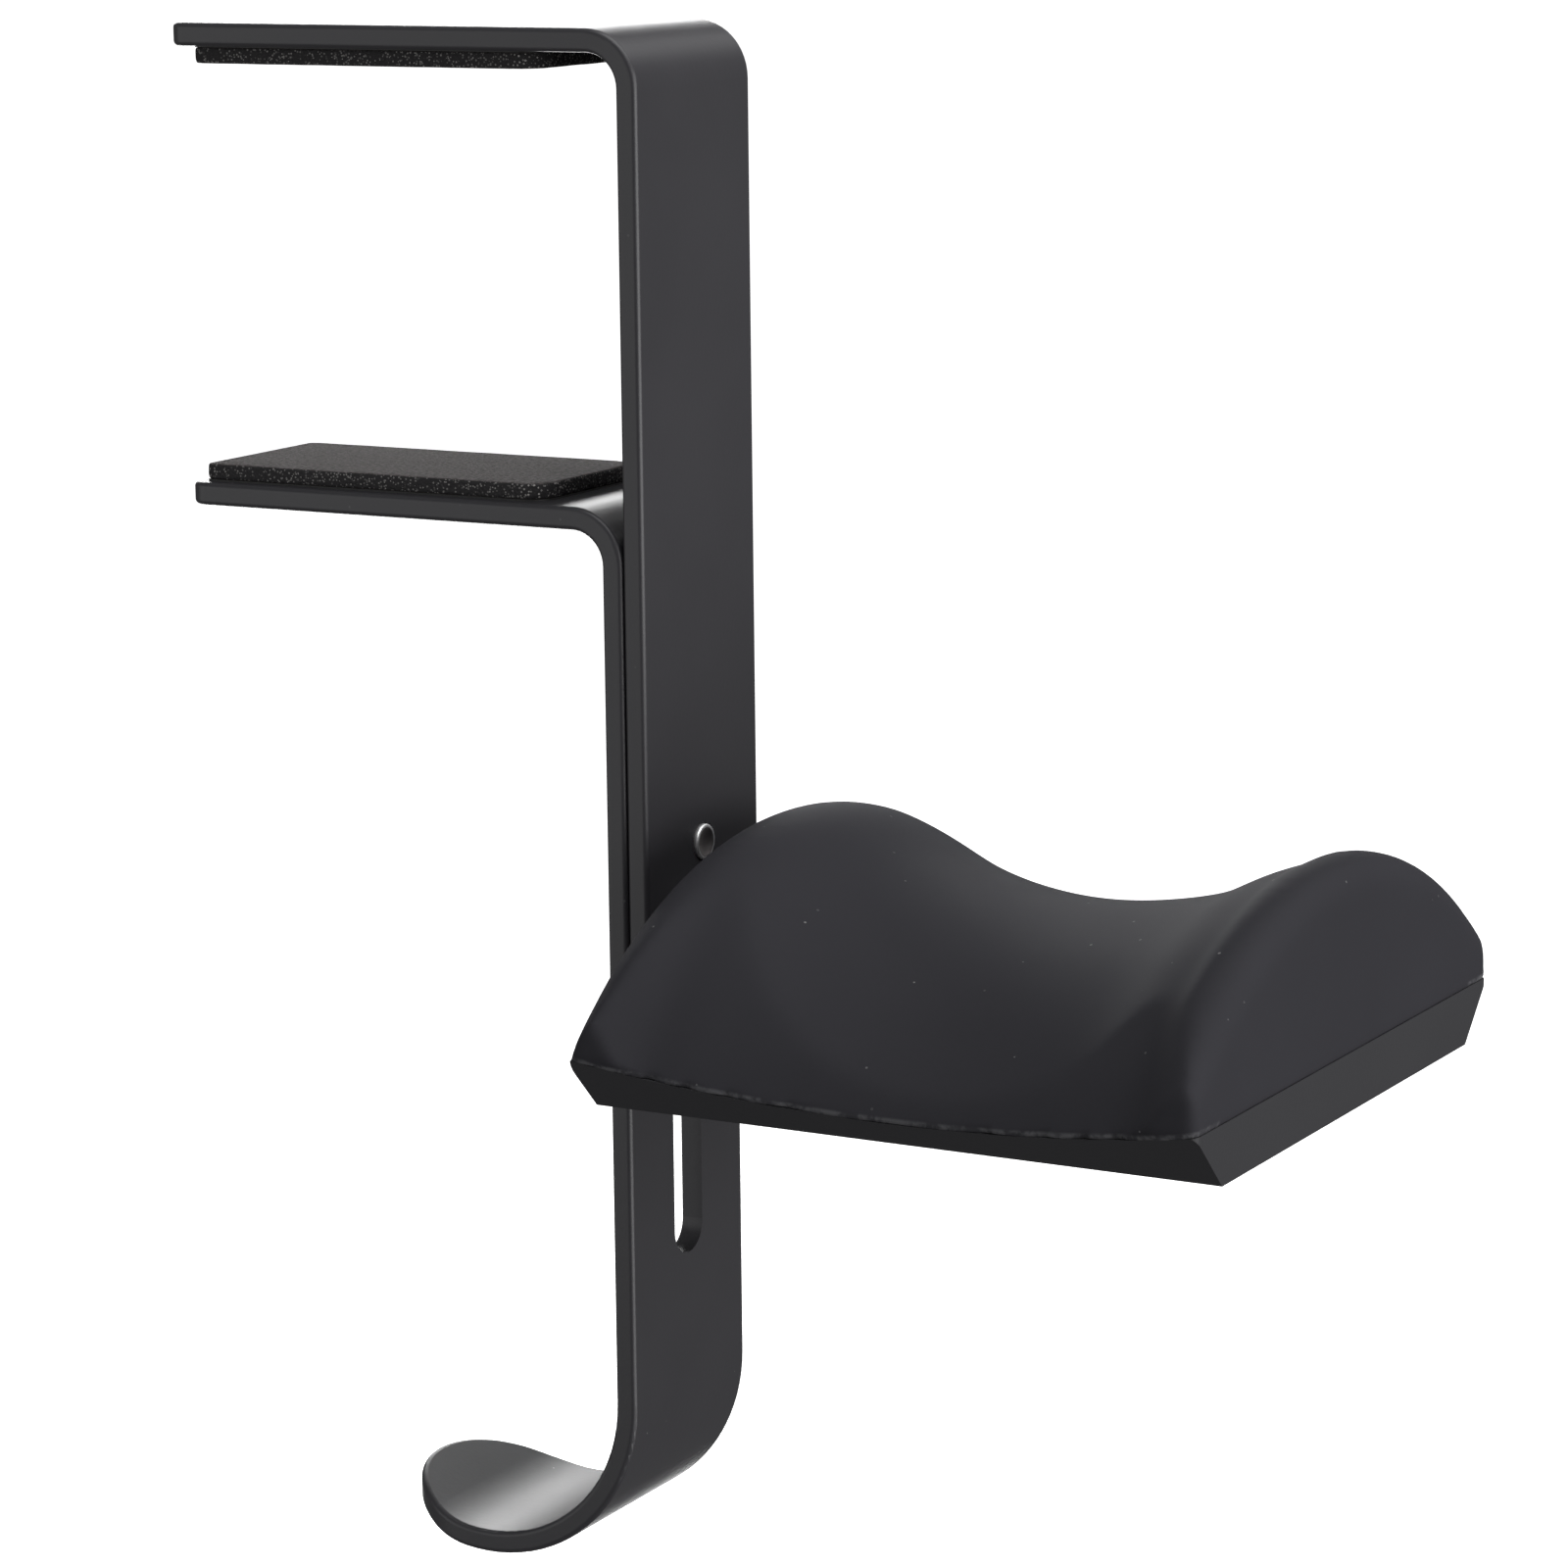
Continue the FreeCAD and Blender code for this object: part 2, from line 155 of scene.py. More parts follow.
class HookStage(bpy.types.PropertyGroup):
    """Camera, lights and floor"""

    yaw: angle("Yaw", "Turn of the camera about the upright", 28.95)
    pitch: angle("Pitch", "How far the camera looks down", 10.93)
    roll: angle("Roll", "Turn of the camera about its own line of sight", 0.61)
    distance: length("Distance", "From the camera to the point it looks at", 0.59767)
    lens: FloatProperty(
        name="Lens", description="Focal length of the camera", default=116.86, unit="CAMERA"
    )
    aim: FloatVectorProperty(
        name="Aim", description="Point that the camera looks at, in the part's own frame",
        default=(0.04420, 0.00793, -0.08371), subtype="TRANSLATION", unit="LENGTH", size=3,
        precision=5,
    )
    floor_drop: length("Floor drop", "Height of the hook above the floor", 0.15)
    key_power: power("Key light", "Power of the soft light overhead", 15.0)
    panel_power: power("Back panel", "Power of the panel behind the desk side", 2.3)
    high_power: power("High panel", "Power of the panel high up behind the saddle", 0.55)
    low_power: power("Low panel", "Power of the panel low down behind the hook", 9.0)
    side_power: power(
        "Side light", "Power of the soft light beyond the saddle's free end", 16.0
    )
    front_power: power("Front light", "Power of the soft light on the camera's side", 4.2)
    fill: FloatProperty(
        name="Fill", description="Brightness of the light from all round", default=0.15,
        min=0.0,
    )


# --- shader nodes ---------------------------------------------------------------------------
def feed(tree, socket, item):
    """Links a socket to another one, or sets it to a value."""
    if isinstance(item, bpy.types.NodeSocket):
        tree.links.new(item, socket)
    else:
        socket.default_value = item


def value_math(tree, operation, *items):
    node = tree.nodes.new("ShaderNodeMath")
    node.operation = operation
    for socket, item in zip(node.inputs, items):
        feed(tree, socket, item)
    return node.outputs["Value"]


def step(tree, item, low, high, to_low=0.0, to_high=1.0):
    """Smooth change from to_low at low to to_high at high."""
    node = tree.nodes.new("ShaderNodeMapRange")
    node.interpolation_type = "SMOOTHSTEP"
    ends = {"Value": item, "From Min": low, "From Max": high, "To Min": to_low, "To Max": to_high}
    for label, end in ends.items():
        feed(tree, node.inputs[label], end)
    return node.outputs["Result"]


def noise_at(tree, vector, scale, detail, roughness):
    node = tree.nodes.new("ShaderNodeTexNoise")
    settings = {"Vector": vector, "Scale": scale, "Detail": detail, "Roughness": roughness}
    for label, setting in settings.items():
        feed(tree, node.inputs[label], setting)
    return node.outputs["Fac"]


def cells_at(tree, vector, scale):
    """Voronoi cells round scattered points."""
    node = tree.nodes.new("ShaderNodeTexVoronoi")
    node.feature = "F1"
    feed(tree, node.inputs["Vector"], vector)
    feed(tree, node.inputs["Scale"], scale)
    return node.outputs


def axes(tree, vector):
    """The vector's X, Y and Z."""
    node = tree.nodes.new("ShaderNodeSeparateXYZ")
    tree.links.new(vector, node.inputs["Vector"])
    return node.outputs


def switch_surface(tree, mask, first, second):
    """Makes the surface the first shader where the mask is 0 and the second where it is 1."""
    either = tree.nodes.new("ShaderNodeMixShader")
    for socket, item in zip(either.inputs, (mask, first, second)):
        tree.links.new(item, socket)
    out = next(n for n in tree.nodes if n.type.startswith("OUTPUT"))
    tree.links.new(either.outputs["Shader"], out.inputs["Surface"])


# --- node groups that several materials share -----------------------------------------------
def new_group(name, numbers, outputs):
    """Group with a Vector input, a number input for each of numbers, and number outputs."""
    group = bpy.data.node_groups.new(name, "ShaderNodeTree")
    group.interface.new_socket(name="Vector", in_out="INPUT", socket_type="NodeSocketVector")
    for label, value in numbers.items():
        socket = group.interface.new_socket(
            name=label, in_out="INPUT", socket_type="NodeSocketFloat"
        )
        socket.default_value = value
    for label in outputs:
        group.interface.new_socket(name=label, in_out="OUTPUT", socket_type="NodeSocketFloat")
    enter = group.nodes.new("NodeGroupInput")
    leave = group.nodes.new("NodeGroupOutput")
    return group, enter.outputs, leave.inputs


def grain_group(name):
    """Fine skin of a coated or moulded surface: a height, and a slow tone that varies about 1."""
    numbers = {"Grain scale": 1600.0, "Cloud scale": 60.0, "Cloud depth": 0.1}
    group, given, result = new_group(name, numbers, ("Height", "Tone"))
    grain = noise_at(group, given["Vector"], given["Grain scale"], detail=3.0, roughness=0.6)
    cloud = noise_at(group, given["Vector"], given["Cloud scale"], detail=4.0, roughness=0.55)
    centred = value_math(group, "SUBTRACT", cloud, 0.5)
    swing = value_math(group, "MULTIPLY", centred, given["Cloud depth"])
    tone = value_math(group, "ADD", swing, 1.0)
    group.links.new(grain, result["Height"])
    group.links.new(tone, result["Tone"])
    return group


def specks_group(name):
    """Scattered specks of uneven strength, as a mask."""
    numbers = {"Scale": 900.0, "Share": 0.06, "Size": 0.18}
    group, given, result = new_group(name, numbers, ("Mask",))
    cells = cells_at(group, given["Vector"], given["Scale"])
    pick = group.nodes.new("ShaderNodeSeparateColor")
    group.links.new(cells["Color"], pick.inputs["Color"])
    chosen = value_math(group, "LESS_THAN", pick.outputs["Red"], given["Share"])
    near = value_math(group, "LESS_THAN", cells["Distance"], given["Size"])
    both = value_math(group, "MULTIPLY", chosen, near)
    strength = value_math(group, "MULTIPLY", both, pick.outputs["Green"])
    group.links.new(strength, result["Mask"])
    return group


class Finish:
    """One material with its shader, coordinates and the links that the finishes share."""

    def __init__(self, name, base, roughness, metallic=0.0, ior=1.5, specular=0.5):
        self.material = bpy.data.materials.new(name)
        self.material.use_nodes = True
        self.tree = self.material.node_tree
        self.shader = self.tree.nodes["Principled BSDF"]
        self.base = (*base, 1.0)
        self.roughness = roughness
        for label, value in (
            ("Base Color", self.base), ("Roughness", roughness), ("Metallic", metallic),
            ("IOR", ior), ("Specular IOR Level", specular),
        ):
            self.shader.inputs[label].default_value = value
        coordinates = self.tree.nodes.new("ShaderNodeTexCoord")
        self.place = coordinates.outputs["Object"]
        self.facing = coordinates.outputs["Normal"]

    def group(self, maker, name, **values):
        """Outputs of the named group, made on first use, with its inputs set to the values."""
        node = self.tree.nodes.new("ShaderNodeGroup")
        node.node_tree = bpy.data.node_groups.get(name) or maker(name)
        self.tree.links.new(self.place, node.inputs["Vector"])
        for label, number in values.items():
            node.inputs[label.replace("_", " ").capitalize()].default_value = number
        return node.outputs

    def grain(self, **values):
        return self.group(grain_group, "Fine skin", **values)

    def specks(self, **values):
        return self.group(specks_group, "Dust specks", **values)["Mask"]

    def mix(self, mask, first, second):
        """Colour from first to second as the mask goes from 0 to 1, each a colour or a socket."""
        node = self.tree.nodes.new("ShaderNodeMix")
        node.data_type = "RGBA"
        ports = {s.name: s for s in node.inputs if s.type == "RGBA"}
        self.tree.links.new(mask, node.inputs["Factor"])
        for label, item in (("A", first), ("B", second)):
            is_socket = isinstance(item, bpy.types.NodeSocket)
            feed(self.tree, ports[label], item if is_socket else (*item[:3], 1.0))
        return next(s for s in node.outputs if s.type == "RGBA")

    def toned(self, item, tone):
        """A colour or a socket made lighter or darker by a tone about 1."""
        node = self.tree.nodes.new("ShaderNodeVectorMath")
        node.operation = "SCALE"
        is_socket = isinstance(item, bpy.types.NodeSocket)
        feed(self.tree, node.inputs["Vector"], item if is_socket else item[:3])
        self.tree.links.new(tone, node.inputs["Scale"])
        return node.outputs["Vector"]

    def paint(self, socket):
        self.tree.links.new(socket, self.shader.inputs["Base Color"])

    def rough(self, socket):
        self.tree.links.new(socket, self.shader.inputs["Roughness"])

    def clouded_gloss(self, skin):
        """Roughness that follows the skin's tone."""
        self.rough(value_math(self.tree, "MULTIPLY", skin["Tone"], self.roughness))

    def bump(self, height, depth):
        node = self.tree.nodes.new("ShaderNodeBump")
        node.inputs["Strength"].default_value = 1.0
        node.inputs["Distance"].default_value = depth
        self.tree.links.new(height, node.inputs["Height"])
        self.tree.links.new(node.outputs["Normal"], self.shader.inputs["Normal"])


# --- materials ------------------------------------------------------------------------------
DUST_ON_COAT = (0.16, 0.16, 0.16)
DUST_ON_SILICONE = (0.15, 0.15, 0.15)
PALE_RIM = (0.095, 0.095, 0.101)
FOAM_GLINT = (0.34, 0.33, 0.32)
# Riveted pin: painted shade in the dished end, and a painted highlight on the pin round it
PAINTED_DISH_SHADE = (0.30, 0.28, 0.28)
PAINTED_RING_HIGHLIGHT = (0.95, 0.95, 0.96)
NYLON = (0.028, 0.028, 0.029)
TAPE = (0.02, 0.02, 0.02)


def powder_coat(finishes):
    """Satin powder coat: a fine orange peel, slow clouds of gloss and a little pale dust."""
    look = Finish("Black powder coat", finishes.coat_colour, finishes.coat_roughness)
    skin = look.grain(grain_scale=1500.0, cloud_scale=45.0, cloud_depth=0.22)
    dust = look.specks(scale=520.0, share=0.060, size=0.080)
    tone = look.toned(look.base, skin["Tone"])
    look.paint(look.mix(dust, tone, DUST_ON_COAT))
    look.clouded_gloss(skin)
    look.bump(skin["Height"], 0.012 * MM)
    return look.material


def foam(finishes):
    """Closed-cell foam: a warm grey speckled skin, and dark cut sides with open cells and painted
    glints.
    """
    look = Finish("Black foam", finishes.foam_colour, 0.9, ior=1.4)
    tree = look.tree
    upright = value_math(tree, "ABSOLUTE", axes(tree, look.facing)["Z"])
    skin_side = step(tree, upright, low=0.45, high=0.85)
    mottle = noise_at(tree, look.place, 2000.0, detail=3.0, roughness=0.7)
    top = look.toned(look.base, step(tree, mottle, 0.38, 0.64, to_low=0.55, to_high=1.45))
    # Pale specks on the cut sides are painted glints, from the same specks group that makes real
    # dust elsewhere
    glints = look.specks(scale=3000.0, share=0.75, size=0.36)
    cut = look.mix(glints, finishes.foam_cut_colour, FOAM_GLINT)
    look.paint(look.mix(skin_side, cut, top))
    look.bump(cells_at(tree, look.place, 2800.0)["Distance"], 0.10 * MM)
    return look.material


def rim_mask(look, sizes):
    """Narrow patchy band along the skin's lower rim, on the saddle's two long sides only."""
    tree = look.tree
    place = axes(tree, look.place)
    from_middle = value_math(tree, "SUBTRACT", place["X"], SKIN_MIDDLE_X)
    along = value_math(tree, "DIVIDE", from_middle, SKIN_HALF_X)
    rise = value_math(
        tree, "MULTIPLY", value_math(tree, "POWER", along, 2.0), sizes.part_line_dip
    )
    line = value_math(tree, "ADD", rise, PLATE_HIGH.z - sizes.part_line_dip)
    height = value_math(tree, "SUBTRACT", place["Z"], line)
    band = step(tree, height, 0.35 * MM, 0.80 * MM, to_low=1.0, to_high=0.0)
    out = value_math(tree, "ABSOLUTE", place["Y"])
    long_side = step(tree, out, 0.84 * SKIN_HIGH.y, 0.88 * SKIN_HIGH.y)
    rim_patches = noise_at(tree, look.place, 420.0, detail=3.0, roughness=0.7)
    patchy = step(tree, rim_patches, 0.42, 0.62, to_low=0.15, to_high=1.0)
    return value_math(tree, "MULTIPLY", value_math(tree, "MULTIPLY", band, long_side), patchy)


def silicone(finishes, sizes):
    """Soft matte silicone: hardly any gloss, fine grain, clouds, a few specks and a paler rim."""
    look = Finish(
        "Black silicone", finishes.silicone_colour, finishes.silicone_roughness, ior=1.42,
        specular=0.06,
    )
    skin = look.grain(grain_scale=2300.0, cloud_scale=38.0, cloud_depth=0.20)
    dust = look.specks(scale=480.0, share=0.22, size=0.080)
    tone = look.toned(look.base, skin["Tone"])
    # A paler, patchy band along the skin's lower rim on its two long sides
    pale_rim_mixed = look.mix(rim_mask(look, sizes), tone, PALE_RIM)
    look.paint(look.mix(dust, pale_rim_mixed, DUST_ON_SILICONE))
    look.clouded_gloss(skin)
    look.bump(skin["Height"], 0.010 * MM)
    return look.material


def evenly_clouded(look, bump_depth, **grain):
    """Finishes a material with the fine skin alone: its tone, its gloss and its bump."""
    skin = look.grain(**grain)
    look.paint(look.toned(look.base, skin["Tone"]))
    look.clouded_gloss(skin)
    look.bump(skin["Height"], bump_depth)
    return look.material


def moulded_plastic(name, base, roughness, grain_scale):
    """Spark-eroded matte plastic, as the base plate, core, spacer and swivel washer have."""
    look = Finish(name, base, roughness, ior=1.46, specular=0.3)
    return evenly_clouded(
        look, 0.014 * MM, grain_scale=grain_scale, cloud_scale=30.0, cloud_depth=0.16
    )


def plated_metal(name, base, roughness):
    """Turned and plated metal: fine scratches, and gloss that clouds over."""
    look = Finish(name, base, roughness, metallic=1.0)
    return evenly_clouded(
        look, 0.004 * MM, grain_scale=5200.0, cloud_scale=380.0, cloud_depth=0.35
    )


def riveted_steel(finishes):
    """Bright steel whose riveted end has a raised ring with a painted highlight round a dish with
    painted shade.
    """
    look = Finish("Riveted steel", finishes.steel_colour, 0.5, metallic=1.0)
    tree = look.tree
    low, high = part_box("guide_pin")
    centre = (low + high) / 2
    flatten = tree.nodes.new("ShaderNodeVectorMath")
    flatten.operation = "MULTIPLY"
    flatten.inputs[1].default_value = (0.0, 1.0, 1.0)
    tree.links.new(look.place, flatten.inputs[0])
    from_axis = tree.nodes.new("ShaderNodeVectorMath")
    from_axis.operation = "DISTANCE"
    from_axis.inputs[1].default_value = (0.0, centre.y, centre.z)
    tree.links.new(flatten.outputs["Vector"], from_axis.inputs[0])
    outside = step(tree, from_axis.outputs["Value"], 1.66 * MM, 1.78 * MM)
    head = step(
        tree, axes(tree, look.place)["X"], high.x - 2.5 * MM, high.x - 2.0 * MM,
        to_low=1.0, to_high=0.0,
    )
    beyond_dish = value_math(tree, "MAXIMUM", outside, head)
    skin = look.grain(grain_scale=3000.0, cloud_scale=900.0, cloud_depth=0.5)
    # Outside the dish the pin gets a painted highlight, brighter than its steel; the dish gets
    # painted shade
    look.paint(look.toned(look.mix(beyond_dish, PAINTED_DISH_SHADE, PAINTED_RING_HIGHLIGHT), skin["Tone"]))
    look.rough(step(tree, beyond_dish, 0.0, 1.0, to_low=0.46, to_high=0.50))
    look.bump(skin["Height"], 0.01 * MM)
    return look.material


def tape():
    """Black adhesive tape: faint clouds of tone and a fine bump."""
    look = Finish("Adhesive tape", TAPE, 0.55)
    skin = look.grain(grain_scale=2500.0, cloud_scale=90.0, cloud_depth=0.3)
    look.paint(look.toned(look.base, skin["Tone"]))
    look.bump(skin["Height"], 0.01 * MM)
    return look.material


# --- mesh helpers ---------------------------------------------------------------------------
def dress(material, *nodes):
    """Gives CAD nodes a material in every slot."""
    for name in nodes:
        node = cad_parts[name]
        if not node.material_slots:
            raise RuntimeError(name + " has no material slot")
        for slot in node.material_slots:
            slot.material = material


def new_piece(name, shape):
    """Object at the origin that holds the bmesh's shape."""
    mesh = bpy.data.meshes.new(name)
    shape.to_mesh(mesh)
    shape.free()
    piece = bpy.data.objects.new(name, mesh)
    bpy.context.scene.collection.objects.link(piece)
    return piece


def even_faces(piece, size):
    """Rebuilds the piece's mesh as small even faces, and opens it as a bmesh."""
    rebuild = piece.modifiers.new("Even faces", "REMESH")
    rebuild.mode = "VOXEL"
    rebuild.voxel_size = size
    graph = bpy.context.evaluated_depsgraph_get()
    rough = piece.data
    piece.data = bpy.data.meshes.new_from_object(piece.evaluated_get(graph))
    piece.modifiers.clear()
    bpy.data.meshes.remove(rough)
    fewest_faces = 1000
    if len(piece.data.polygons) < fewest_faces:
        raise RuntimeError(piece.name + " came out of the rebuild almost empty")
    shape = bmesh.new()
    shape.from_mesh(piece.data)
    return shape


def soften(shape, verts, rounds):
    for _ in range(rounds):
        bmesh.ops.smooth_vert(
            shape, verts=verts, factor=0.5, use_axis_x=True, use_axis_y=True, use_axis_z=True
        )


def store(shape, piece, material):
    """Puts the shape back, with its normals out, shaded smooth and in its material."""
    bmesh.ops.recalc_face_normals(shape, faces=shape.faces)
    for face in shape.faces:
        face.smooth = True
    shape.to_mesh(piece.data)
    shape.free()
    piece.data.materials.clear()
    piece.data.materials.append(material)


def place_soft_piece(piece, body, node):
    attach(piece, body)
    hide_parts(node)


# --- foam pads ------------------------------------------------------------------------------
FOAM_WAVE_SCALE = 260.0
FOAM_RIPPLE_SCALE = 1400.0
FOAM_RIPPLE_SHIFT = Vector((7.0, 3.0, 1.0))
FOAM_RIPPLE_DEPTH = 0.05 * MM
SIDE_POWER = 14  # how closely the ripple keeps to the pad's long sides
END_POWER = 30  # and to its two ends


def foam_block(low, high, sizes):
    """The pad's block, with its four upright corners rounded."""
    same_place = 1e-6
    shape = bmesh.new()
    bmesh.ops.create_cube(shape, size=1.0)
    bmesh.ops.scale(shape, vec=high - low, verts=shape.verts)
    bmesh.ops.translate(shape, vec=(low + high) / 2, verts=shape.verts)
    for x, radius in ((low.x, sizes.tip_corner), (high.x, sizes.leg_corner)):
        corners = [
            e for e in shape.edges
            if all(abs(v.co.x - x) < same_place for v in e.verts)
            and abs(e.verts[0].co.z - e.verts[1].co.z) > 0.5 * (high.z - low.z)
        ]
        bmesh.ops.bevel(
            shape, geom=corners, offset=radius, offset_type="OFFSET", affect="EDGES",
            segments=8, profile=0.5, material=-1,
        )
    return shape


def foam_pad(name, node, top_way, sizes, material):
    """A foam pad with softly cut edges, a slight crown on its free face and uneven cut sides."""
    low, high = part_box(node)
    piece = new_piece(name, foam_block(low, high, sizes))
    shape = even_faces(piece, sizes.foam_grid)
    soften(shape, shape.verts, 2)
    middle = (low + high) / 2
    half = (high - low) / 2
    thick = high.z - low.z
    for v in shape.verts:
        spot = v.co
        across = (spot.y - middle.y) / half.y
        along = (spot.x - middle.x) / half.x
        free = (spot.z - middle.z) * top_way / thick + 0.5
        inward = max(0.0, 1 - across * across) * max(0.0, 1 - along**4)
        wave = noise.noise(spot * FOAM_WAVE_SCALE) * sizes.foam_unevenness
        lift = free * (inward * sizes.foam_crown - sizes.foam_crown + wave * inward**0.3)
        at_side, at_end = abs(across) ** SIDE_POWER, abs(along) ** END_POWER
        bumps = noise.noise(spot * FOAM_RIPPLE_SCALE + FOAM_RIPPLE_SHIFT)
        ripple = bumps * FOAM_RIPPLE_DEPTH
        v.co = Vector((
            spot.x + math.copysign(ripple * max(at_side, at_end), along) * at_end,
            spot.y + math.copysign(ripple, across) * at_side,
            spot.z + lift * top_way,
        ))
    store(shape, piece, material)
    return piece


# --- saddle skin ----------------------------------------------------------------------------
RIM_HEIGHT = 0.5 * MM
RIM_DROP = 0.05 * MM
RIM_PULL = 0.9
RIM_SWELL = 0.06 * MM
RIM_WAVE_SCALE = 500.0
FIRST_INSET, INSET_STEP = 0.3, 0.2  # mm in from the long sides where each round stops


def part_line(x, sizes):
    """Height of the parting line along the saddle: it sags between the two ends."""
    return PLATE_HIGH.z - sizes.part_line_dip * (1 - ((x - SKIN_MIDDLE_X) / SKIN_HALF_X) ** 2)


def saddle_skin(sizes, material):
    """The soft skin over the saddle, its corners blended and its lower rim slightly uneven."""
    shape = bmesh.new()
    shape.from_mesh(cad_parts["saddle_skin"].data)
    bmesh.ops.remove_doubles(shape, verts=shape.verts, dist=0.001 * MM)
    piece = new_piece("soft_saddle_skin", shape)
    shape = even_faces(piece, sizes.skin_grid)
    upper = [v for v in shape.verts if v.co.z > part_line(v.co.x, sizes) + 1.0 * MM]
    soften(shape, shape.verts, 1)
    for turn in range(sizes.skin_softening):
        reach = SKIN_HIGH.y - (FIRST_INSET + INSET_STEP * turn) * MM
        soften(shape, [v for v in upper if abs(v.co.y) < reach], 1)
    for v in shape.verts:
        above = v.co.z - part_line(v.co.x, sizes)
        height = above / RIM_HEIGHT
        if height < 1.0:
            low_down = 1 - max(height, 0.0)
            v.co.z -= (above + RIM_DROP) * low_down * RIM_PULL
            swell = 0.7 + 0.6 * noise.noise(v.co * RIM_WAVE_SCALE)
            v.co += v.normal * swell * RIM_SWELL * low_down
        v.co = [min(max(spot, low), high) for spot, low, high in zip(v.co, SKIN_LOW, SKIN_HIGH)]
    store(shape, piece, material)
    return piece


# --- stage ----------------------------------------------------------------------------------
WHITE = (1.0, 1.0, 1.0, 1.0)
BACKDROP_STRENGTH = 1.1
FLOOR_REACH = 60.0

# name, setting that holds its power, way from the hook's middle, distance, width, height
LIGHTS = (
    ("Key", "key_power", (0.30, 0.0, 1.0), 1.2, 1.3, 1.3),
    ("Back panel", "panel_power", (-0.453, 0.623, 0.235), 0.81, 0.42, 0.15),
    ("High panel", "high_power", (0.17, 0.73, 0.585), 0.95, 0.50, 0.30),
    ("Low panel", "low_power", (-0.55, 0.85, -0.42), 1.5, 0.7, 0.4),
    ("Side", "side_power", (1.0, -0.1, -0.05), 1.2, 1.2, 1.0),
    ("Front", "front_power", (-0.85, -1.0, 0.0), 1.3, 1.4, 1.0),
)


def place_camera(stage):
    """Camera at a three-quarter view, set back from the point it looks at."""
    level = math.cos(stage.pitch)
    ahead = Vector(
        (-math.sin(stage.yaw) * level, math.cos(stage.yaw) * level, -math.sin(stage.pitch))
    )
    side = Vector((math.cos(stage.yaw), math.sin(stage.yaw), 0.0))
    down = ahead.cross(side)
    right = math.cos(stage.roll) * side + math.sin(stage.roll) * down
    up = math.sin(stage.roll) * side - math.cos(stage.roll) * down
    spot = Vector(stage.aim) - ahead * stage.distance
    data = bpy.data.cameras.new("Camera")
    data.sensor_width = 36.0
    data.lens = stage.lens
    data.clip_start = 0.01
    data.clip_end = 200.0
    camera = bpy.data.objects.new("Camera", data)
    bpy.context.scene.collection.objects.link(camera)
    turn = Matrix((right, up, -ahead)).transposed().to_4x4()
    camera.matrix_world = Matrix.Translation(spot) @ turn
    bpy.context.scene.camera = camera


def soft_light(name, power_now, way, distance, width, height):
    """Rectangular light at a distance from the hook's middle, facing it."""
    data = bpy.data.lights.new(name, "AREA")
    data.shape = "RECTANGLE"
    data.size = width
    data.size_y = height
    data.energy = power_now
    lamp = bpy.data.objects.new(name, data)
    bpy.context.scene.collection.objects.link(lamp)
    way = Vector(way).normalized()
    lamp.location = (CAD_BOX[0] + CAD_BOX[1]) / 2 + way * distance
    lamp.rotation_euler = way.to_track_quat("Z", "Y").to_euler()
    lamp.visible_camera = False


def pale_floor(stage):
    """Wide pale floor, clear when looked at from below. It neither lights nor shades the hook."""
    shape = bmesh.new()
    bmesh.ops.create_grid(shape, x_segments=1, y_segments=1, size=FLOOR_REACH)
    floor_height = CAD_BOX[0].z - stage.floor_drop
    bmesh.ops.translate(shape, vec=(0.0, 0.0, floor_height), verts=shape.verts)
    floor = new_piece("pale_floor", shape)
    look = Finish("Pale floor", (0.9, 0.9, 0.9), 0.8)
    look.shader.inputs["Emission Color"].default_value = WHITE
    look.shader.inputs["Emission Strength"].default_value = 1.0
    side = look.tree.nodes.new("ShaderNodeNewGeometry").outputs["Backfacing"]
    clear = look.tree.nodes.new("ShaderNodeBsdfTransparent").outputs["BSDF"]
    switch_surface(look.tree, side, look.shader.outputs["BSDF"], clear)
    floor.data.materials.append(look.material)
    floor.visible_diffuse = False
    floor.visible_glossy = False
    floor.visible_shadow = False


def surroundings(stage):
    """White to the camera, and an even dim light to everything else."""
    world = bpy.data.worlds.new("Studio")
    bpy.context.scene.world = world
    world.use_nodes = True
    tree = world.node_tree
    dim = tree.nodes["Background"]
    bright = tree.nodes.new("ShaderNodeBackground")
    for node, strength in ((dim, stage.fill), (bright, BACKDROP_STRENGTH)):
        node.inputs["Color"].default_value = WHITE
        node.inputs["Strength"].default_value = strength
    seen = tree.nodes.new("ShaderNodeLightPath").outputs["Is Camera Ray"]
    switch_surface(tree, seen, dim.outputs["Background"], bright.outputs["Background"])


# --- operators ------------------------------------------------------------------------------
class HOOK_OT_brackets(bpy.types.Operator):
    """Powder-coat the two bent steel strips"""

    bl_idname = "headphone_hook.brackets"
    bl_label = "Brackets"

    def execute(self, context):
        dress(powder_coat(context.scene.hook_finishes), "upper_bracket", "lower_bracket")
        return {"FINISHED"}


class HOOK_OT_hardware(bpy.types.Operator):
    """Plate the screws, pin and washer, and colour the insert"""

    bl_idname = "headphone_hook.hardware"
    bl_label = "Screws, pin and insert"

    def execute(self, context):
        finishes = context.scene.hook_finishes
        steel = plated_metal("Bright steel", finishes.steel_colour, 0.30)
        brass = plated_metal("Insert brass", finishes.brass_colour, 0.34)
        dress(riveted_steel(finishes), "guide_pin")
        dress(steel, "clamp_screw", "clamp_washer", "base_plate_screws")
        dress(brass, "threaded_insert")
        return {"FINISHED"}


class HOOK_OT_saddle_base(bpy.types.Operator):
    """Give the saddle's moulded base, core, spacer and swivel washer their plastic"""

    bl_idname = "headphone_hook.saddle_base"
    bl_label = "Saddle base and core"

    def execute(self, context):
        plastic_colour = context.scene.hook_finishes.plastic_colour
        plastic = moulded_plastic("Black plastic", plastic_colour, 0.58, 1900.0)
        nylon = moulded_plastic("Black nylon", NYLON, 0.5, 2600.0)
        dress(plastic, "saddle_base_plate")
        dress(nylon, "saddle_core", "spacer_bush", "swivel_washer")
        return {"FINISHED"}


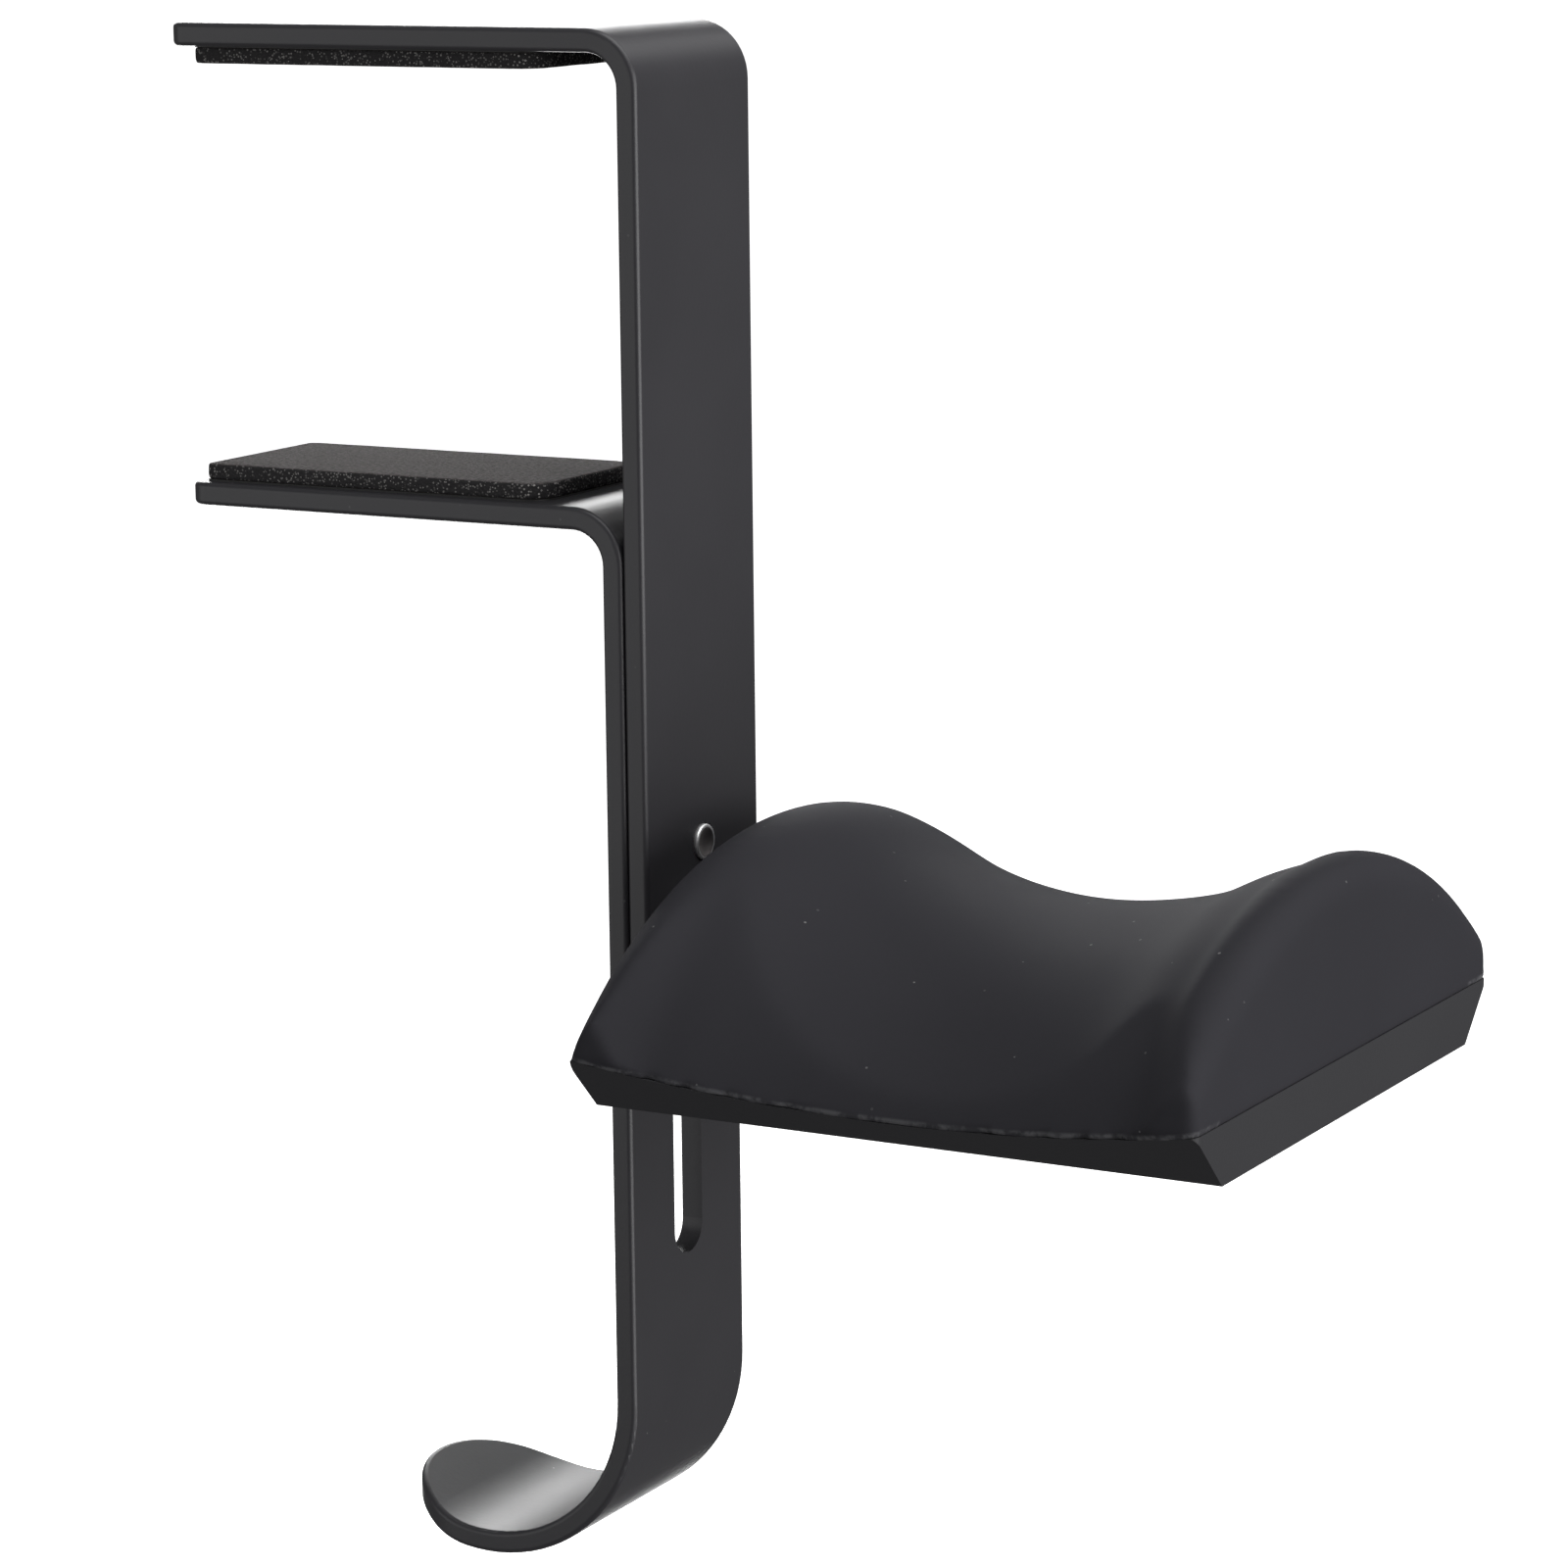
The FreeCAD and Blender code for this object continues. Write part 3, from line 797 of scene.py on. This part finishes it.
class HOOK_OT_saddle_skin(bpy.types.Operator):
    """Make the saddle's soft silicone skin"""

    bl_idname = "headphone_hook.saddle_skin"
    bl_label = "Saddle skin"

    def execute(self, context):
        scene = context.scene
        skin = saddle_skin(scene.hook_sizes, silicone(scene.hook_finishes, scene.hook_sizes))
        place_soft_piece(skin, "saddle", "saddle_skin")
        return {"FINISHED"}


class HOOK_OT_foam_pads(bpy.types.Operator):
    """Make the two foam pads and finish their tape"""

    bl_idname = "headphone_hook.foam_pads"
    bl_label = "Foam pads"

    def execute(self, context):
        scene = context.scene
        material = foam(scene.hook_finishes)
        dress(tape(), "upper_pad_tape", "lower_pad_tape")
        for name, node, body, way in (
            ("soft_upper_pad", "upper_foam_pad", "fixed_arm", -1),
            ("soft_lower_pad", "lower_foam_pad", "sliding_arm", 1),
        ):
            piece = foam_pad(name, node, way, scene.hook_sizes, material)
            place_soft_piece(piece, body, node)
        return {"FINISHED"}


class HOOK_OT_stage(bpy.types.Operator):
    """Set the camera, floor, surroundings and lights"""

    bl_idname = "headphone_hook.stage"
    bl_label = "Stage"

    def execute(self, context):
        stage = context.scene.hook_stage
        place_camera(stage)
        pale_floor(stage)
        surroundings(stage)
        for name, setting, *spread in LIGHTS:
            soft_light(name, getattr(stage, setting), *spread)
        context.scene.view_settings.view_transform = "Standard"
        return {"FINISHED"}


class HOOK_PT_panel(bpy.types.Panel):
    """Settings and steps of the headphone hook"""

    bl_label = "Headphone Hook"
    bl_idname = "HOOK_PT_panel"
    bl_space_type = "VIEW_3D"
    bl_region_type = "UI"
    bl_category = "Headphone Hook"

    def draw(self, context):
        for group_name in SETTINGS:
            group = getattr(context.scene, group_name)
            box = self.layout.box()
            for name in group.__annotations__:
                box.prop(group, name)
        for step_class in STEPS:
            self.layout.operator(step_class.bl_idname)


SETTINGS = {"hook_finishes": HookFinishes, "hook_sizes": HookSizes, "hook_stage": HookStage}
STEPS = (
    HOOK_OT_brackets, HOOK_OT_hardware, HOOK_OT_saddle_base, HOOK_OT_saddle_skin,
    HOOK_OT_foam_pads, HOOK_OT_stage,
)


def register():
    for item in (*SETTINGS.values(), *STEPS, HOOK_PT_panel):
        bpy.utils.register_class(item)
    for name, group in SETTINGS.items():
        setattr(bpy.types.Scene, name, PointerProperty(type=group))


def unregister():
    for name in SETTINGS:
        delattr(bpy.types.Scene, name)
    for item in reversed((*SETTINGS.values(), *STEPS, HOOK_PT_panel)):
        bpy.utils.unregister_class(item)


def main():
    register()
    bpy.ops.headphone_hook.brackets()
    bpy.ops.headphone_hook.hardware()
    bpy.ops.headphone_hook.saddle_base()
    bpy.ops.headphone_hook.saddle_skin()
    bpy.ops.headphone_hook.foam_pads()
    bpy.ops.headphone_hook.stage()


if __name__ == "__main__":
    main()
